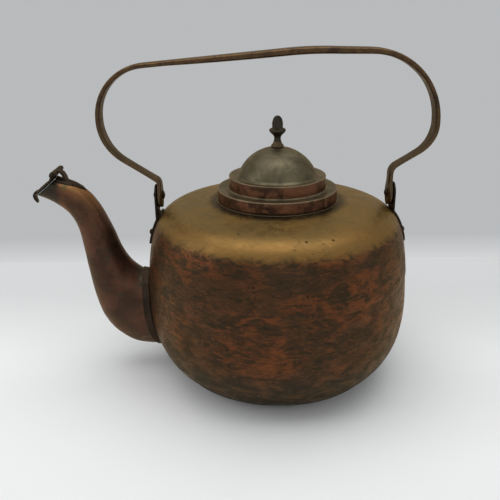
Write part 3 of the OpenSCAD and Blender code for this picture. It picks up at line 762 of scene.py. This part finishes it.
# Half widths of the legs at places along X: they draw in to a waist above the feet
LEG_PLAN = [(-146, 8.5), (-140, 7), (-132, 5.6), (-122, 4.8), (-110, 4.8), (-103, 5.6), (-96, 7),
            (90, 7), (98, 5.6), (104, 4.8), (112, 4.8), (120, 5.6), (126, 7), (131, 8.5)]
GRIP_MID_X = 15.0
GRIP_HALF_LEN = 105.0
GRIP_EXTRA_T = 1.8
GRIP_EXTRA_HALF_W = 2.0


def bend(p, v, q, radius, parts=16):
    """The arc that rounds corner v between points p and q."""
    a, b = unit(p - v), unit(q - v)
    half = math.acos(a @ b) / 2
    centre = v + unit(a + b) * radius / math.sin(half)
    start, end = v + a * radius / math.tan(half) - centre, v + b * radius / math.tan(half) - centre
    first = math.atan2(start[1], start[0])
    sweep = (math.atan2(end[1], end[0]) - first + 3 * math.pi) % TAU - math.pi
    return [centre + radius * np.array([math.cos(first + sweep * k / parts), math.sin(first + sweep * k / parts)])
            for k in range(parts + 1)]


def make_handle(material):
    corners = [np.array(c[:2], float) for c in BAIL_CORNERS]
    path = [corners[0]]
    for i in range(1, len(corners) - 1):
        path += bend(corners[i - 1], corners[i], corners[i + 1], BAIL_CORNERS[i][2])
    path = even(np.array(path + [corners[-1]]), 1.5)
    along = unit(np.gradient(path, axis=0))
    out = np.stack([-along[:, 1], along[:, 0]], -1)
    from_pivot = path[:, 1] - PIVOT_Z
    is_top = ease(path[:, 1], 240, 262)
    swell = np.clip(1 - ((path[:, 0] - GRIP_MID_X) / GRIP_HALF_LEN) ** 2, 0, 1) * is_top
    is_leg = 1 - ease(path[:, 1], 209, 215)
    leg_w = np.interp(path[:, 0], *np.array(LEG_PLAN).T)
    strip_w = (BAIL_HALF_W + GRIP_EXTRA_HALF_W * swell) * (1 - is_leg) + leg_w * is_leg
    strip_w[from_pivot < 0] = 0
    foot_w = np.sqrt(np.clip(FOOT_R ** 2 - from_pivot ** 2, 2, None))
    half_w = np.maximum(strip_w, foot_w)
    half_w[3:-3] = np.convolve(half_w, [0.1, 0.2, 0.4, 0.2, 0.1], "same")[3:-3]
    half_down = BAIL_T / 2 + GRIP_EXTRA_T * swell
    count = 40
    angles = np.arange(count) * TAU / count
    across = np.sign(np.cos(angles)) * np.abs(np.cos(angles)) ** 0.42
    upward = np.sign(np.sin(angles)) * np.abs(np.sin(angles)) ** 0.55
    rings = []
    for i, p in enumerate(path):
        lift = upward * np.where(upward > 0, BAIL_T / 2, half_down[i])
        rings.append(np.stack([p[0] + out[i, 0] * lift, half_w[i] * across, p[1] + out[i, 1] * lift], -1))
    points = np.array(rings)
    uneven = noise_at(points, 24, 12)
    points[..., 1] *= 1 - 0.012 * (1 + uneven)
    obj = tube("strip_handle", points)
    # rubbed side edges along the strip, plus a painted highlight on the top face of the grip, standing in for the
    # light that face catches
    edge = np.tile(np.clip((np.abs(np.cos(angles)) - 0.80) / 0.15, 0, 1), len(path))
    up_edge = np.tile(ease(upward, 0.3, 0.9), len(path)) * np.repeat(is_top, count)
    gold_leg = np.repeat(1 - ease(path[:, 1], 205, 235), count) * 0.6
    mark(obj, "wear_and_highlight", np.clip(edge * (0.35 + up_edge) + 0.35 * up_edge, 0, 1))
    mark(obj, "leg", gold_leg)
    for x in (LEFT_FOOT_X, RIGHT_FOOT_X):
        cut(obj, rod_x((x - BAIL_T, 0, PIVOT_Z), 2 * BAIL_T, PIVOT_HOLE_R, PIVOT_HOLE_R, 48))
    finish_piece(obj, "handle", ["bail_handle"], material)


# ---- Spout ----
# Stations: lower edge x, z, upper edge x, z and half width, from inside the body to past the mouth
SPOUT_STATIONS = [
    (-96, 21, -96, 93, 23.5), (-110, 20.5, -106, 93.2, 24), (-122.5, 21.5, -112.5, 93.4, 24),
    (-133.6, 24.2, -117, 93.6, 24), (-143.8, 31, -120.5, 94.2, 24), (-153, 40, -123.5, 95.8, 23.5),
    (-160.6, 53.5, -127, 98.6, 22.3), (-165.2, 70, -130.8, 102.6, 20.8), (-168, 87, -135, 109, 19),
    (-170, 103, -139.3, 118.5, 17.2), (-171.8, 118, -143.3, 130.5, 15.8), (-174, 133, -148.5, 143.2, 14.6),
    (-178, 144, -154.6, 156, 13.7), (-183.5, 151.5, -163, 167.3, 13), (-192, 158, -174, 175.3, 12.2),
    (-201, 162.7, -186, 179.6, 11.4), (-213, 167.5, -199, 184, 10.8)]
LIP = np.array([-206.5, 0, 165.0])
MOUTH_ANGLE = math.radians(40)


def spout_rings(shrink, count, parts):
    """Oval rings along the spout, drawn in by shrink, with parts of them to a station."""
    stations = smooth_curve(SPOUT_STATIONS, parts)
    angles = np.arange(count) * TAU / count
    rings = []
    for low_x, low_z, high_x, high_z, half_w in stations:
        low, high = np.array([low_x, low_z]), np.array([high_x, high_z])
        middle, down = (low + high) / 2, unit(low - high)
        reach = (np.linalg.norm(low - high) / 2 - shrink) * np.cos(angles)
        rings.append(np.stack([middle[0] + down[0] * reach, (half_w - shrink) * np.sin(angles),
                               middle[1] + down[1] * reach], -1))
    return np.array(rings)


def belly_solid(grow=0.0, count=160):
    """The belly by the spout as a filled solid, for trimming."""
    curve = np.array([low_point(math.radians(a)) for a in range(24, 88, 2)]
                     + [top_point(math.radians(a)) for a in range(0, 34, 2)])
    curve = curve + outward(curve) * grow
    outline = np.vstack([[[0, curve[0][1]]], curve, [[0, curve[-1][1]]]])
    return turned_piece("cutter", outline, count, closed=False)


def beyond_mouth():
    """A block over everything past the oblique mouth."""
    along = np.array([math.cos(MOUTH_ANGLE), 0, math.sin(MOUTH_ANGLE)])
    out = np.array([-math.sin(MOUTH_ANGLE), 0, math.cos(MOUTH_ANGLE)])
    wide = np.array([0, 1, 0])
    corners = [LIP + a * along + b * wide + c * out for a in (-40, 60) for b in (-40, 40) for c in (0, 50)]
    faces = [(0, 1, 3, 2), (4, 6, 7, 5), (0, 4, 5, 1), (2, 3, 7, 6), (0, 2, 6, 4), (1, 5, 7, 3)]
    return make_mesh("cutter", corners, faces)


def make_spout(material):
    outer = spout_rings(0, 120, 7)
    uneven = 0.32 * (0.5 + 0.5 * noise_at(outer, 30, 15)) + 0.14 * (0.5 + 0.5 * noise_at(outer, 10, 16))
    uneven *= ease(-outer[..., 0], 124, 136)
    middle = outer.mean(axis=1, keepdims=True)
    inward = unit(middle - outer)
    outer = outer + inward * uneven[..., None]
    obj = tube("swan_neck_spout", outer)
    cut(obj, tube("cutter", spout_rings(SPOUT_T + 0.25, 96, 5)))
    cut(obj, belly_solid(SEAM_GAP))
    cut(obj, beyond_mouth())
    finish_piece(obj, "kettle", ["spout_tube"], material)


# ---- Fittings taken from the CAD with their edges worn ----
WORN_FITTINGS = [
    # node, body, slot, voxel size, smoothing passes, unevenness
    ("spout_root_collar", "kettle", "spout_copper", 0.45, 14, 0.1),
    ("spout_hinge_strap", "kettle", "dark_fittings", 0.3, 4, 0.05),
    ("flap_hinge_pin", "kettle", "dark_fittings", 0.22, 3, 0.0),
    ("spout_flap", "flap", "dark_fittings", 0.3, 4, 0.05),
    ("ear_left", "kettle", "dark_fittings", 0.4, 5, 0.1),
    ("ear_right", "kettle", "dark_fittings", 0.4, 5, 0.1),
    ("ear_rivet_left", "kettle", "rivet_copper", 0.22, 3, 0.12),
    ("ear_rivet_right", "kettle", "rivet_copper", 0.22, 3, 0.12),
    ("pivot_rivet_left", "kettle", "rivet_copper", 0.25, 3, 0.1),
    ("pivot_rivet_right", "kettle", "rivet_copper", 0.25, 3, 0.1),
]


def make_fittings(materials):
    for node, body, slot, voxel, smoothing, wobble in WORN_FITTINGS:
        obj = worn_copy(node, voxel, smoothing, wobble)
        finish_piece(obj, body, [node], materials[slot])


# ---- Stage, lights and camera ----
# Metres and degrees
TABLE_BACK_Y = 0.25                 # where the table ends behind the kettle
CAMERA_PLACE = (-0.0241, -0.509, 0.310)
CAMERA_PITCH = 21.33
CAMERA_ROLL = -0.68


def make_stage():
    """A pale table. The pale wall behind it is the world's own colour, so it hides nothing from any side."""
    front, back, half_w = -2.2, TABLE_BACK_Y, 3.0
    points = [(x / MM, y / MM, 0) for y in (front, back) for x in (-half_w, half_w)]
    obj = make_mesh("pale_table", points, [(0, 1, 3, 2)])
    f = Finish("pale_paint")
    tone = f.noise(240, 3, 0.5)
    color = f.mix(f.spread(tone, 0.3, 0.7), (0.86, 0.87, 0.865), (0.88, 0.89, 0.885))
    # painted shade: the table darkens towards its back edge to meet the wall's tone, and a little towards the front,
    # leaving the paint brightest round the kettle
    color = f.mix(f.spread(f.axis(1), -0.02, 0.17), color, (0.670, 0.680, 0.680))
    color = f.mix(f.spread(f.axis(1), -0.14, -0.32), color, (0.780, 0.790, 0.785))
    roughness = f.spread(tone, 0.3, 0.7, 0.5, 0.6)
    obj.data.materials.append(f.finish(color, roughness, 0.0, f.noise(3, 3), 0.02, 0.2, (1, 1, 1, 1)))


def area_light(name, place, aim, size, power):
    data = bpy.data.lights.new(name, "AREA")
    data.shape = "RECTANGLE"
    data.size, data.size_y = size
    data.energy = power
    obj = bpy.data.objects.new(name, data)
    scene.collection.objects.link(obj)
    obj.location = place
    obj.rotation_mode = "QUATERNION"
    obj.rotation_quaternion = (Vector(aim) - Vector(place)).to_track_quat("-Z", "Y")


def make_lights():
    area_light("overhead", (0.0, 0.10, 1.5), (0, 0.05, 0.1), (1.8, 1.4), 14)
    area_light("left_window", (-1.6, -0.2, 0.9), (0, 0, 0.12), (1.0, 1.2), 6)
    area_light("right_fill", (1.5, -0.5, 0.7), (0, 0, 0.12), (0.9, 1.0), 1.5)
    area_light("front_fill", (0.15, -1.7, 0.85), (0, 0, 0.05), (1.8, 1.1), 3.5)
    world = bpy.data.worlds.new("room")
    scene.world = world
    world.use_nodes = True
    tree = world.node_tree

    def link(a, b):
        tree.links.new(a, b)

    def ramp(source, low, high, out_low, out_high):
        node = tree.nodes.new("ShaderNodeMapRange")
        for name, value in (("From Min", low), ("From Max", high), ("To Min", out_low), ("To Max", out_high)):
            node.inputs[name].default_value = value
        link(source, node.inputs["Value"])
        return node.outputs[0]

    def combine(operation, a, b):
        node = tree.nodes.new("ShaderNodeMath")
        node.operation = operation
        for socket, value in zip(node.inputs, (a, b)):
            if isinstance(value, float):
                socket.default_value = value
            else:
                link(value, socket)
        return node.outputs[0]

    direction = tree.nodes.new("ShaderNodeTexCoord")
    split = tree.nodes.new("ShaderNodeSeparateXYZ")
    link(direction.outputs["Generated"], split.inputs[0])
    # The wall is a little lighter than the room in front, and turns into the table's white below
    # the table's back edge, as it is seen from the place where the camera stands
    wall = ramp(split.outputs[1], -0.9, 0.3, 0.42, 0.50)
    slope = combine("DIVIDE", split.outputs[2], combine("MAXIMUM", split.outputs[1], 0.05))
    edge = -CAMERA_PLACE[2] / (TABLE_BACK_Y - CAMERA_PLACE[1])
    below = ramp(slope, edge + 0.045, edge, 0.0, 0.16)
    link(combine("ADD", wall, below), tree.nodes["Background"].inputs["Strength"])
    tree.nodes["Background"].inputs["Color"].default_value = (0.97, 0.985, 1, 1)


def make_camera():
    """Looks down on the kettle from the front, from a little to the left of its axis."""
    pitch, roll = math.radians(CAMERA_PITCH), math.radians(CAMERA_ROLL)
    right = Vector((1, 0, 0))
    up = Vector((0, math.sin(pitch), math.cos(pitch)))
    rolled_right = right * math.cos(roll) + up * math.sin(roll)
    rolled_up = up * math.cos(roll) - right * math.sin(roll)
    back = rolled_right.cross(rolled_up)
    data = bpy.data.cameras.new("camera")
    data.sensor_width = 36
    data.lens = 43.85
    data.clip_start = 0.01
    obj = bpy.data.objects.new("camera", data)
    scene.collection.objects.link(obj)
    turned = Matrix((rolled_right, rolled_up, back)).transposed().to_4x4()
    obj.matrix_world = Matrix.Translation(CAMERA_PLACE) @ turned
    scene.camera = obj


make_camera()
make_stage()
make_lights()
scene.view_settings.view_transform = "Standard"

dark = plain_finish("black_tarnish", (0.017, 0.013, 0.010), (0.032, 0.023, 0.017), (0.044, 0.034, 0.023))
rivet = plain_finish("dark_rivet", (0.036, 0.026, 0.018), (0.062, 0.042, 0.028), (0.090, 0.062, 0.038), size=5)
# the collar's edge tone is a painted highlight on the neck flange's rim
collar = plain_finish("dull_collar", (0.048, 0.032, 0.020), (0.085, 0.056, 0.034), (0.120, 0.080, 0.048),
                      worn_and_highlit=(0.120, 0.088, 0.055))
root_collar = plain_finish("dark_root_collar", (0.024, 0.017, 0.012), (0.042, 0.028, 0.019),
                           (0.056, 0.040, 0.025))
acorn = plain_finish("dark_bronze", (0.024, 0.022, 0.017), (0.044, 0.038, 0.028), (0.062, 0.058, 0.040), size=7)
brass = plain_finish("dull_brass", (0.085, 0.062, 0.036), (0.135, 0.100, 0.055), (0.100, 0.062, 0.038), size=6)
body_copper = body_finish()
spout_copper = spout_finish()

make_body(body_copper)
make_base(body_copper)
make_neck(collar)
make_lid(lid_finish())
make_lid_collar(collar)
make_finial(acorn, brass)
make_handle(handle_finish())
make_spout(spout_copper)
make_fittings({"spout_copper": root_collar, "dark_fittings": dark, "rivet_copper": rivet})
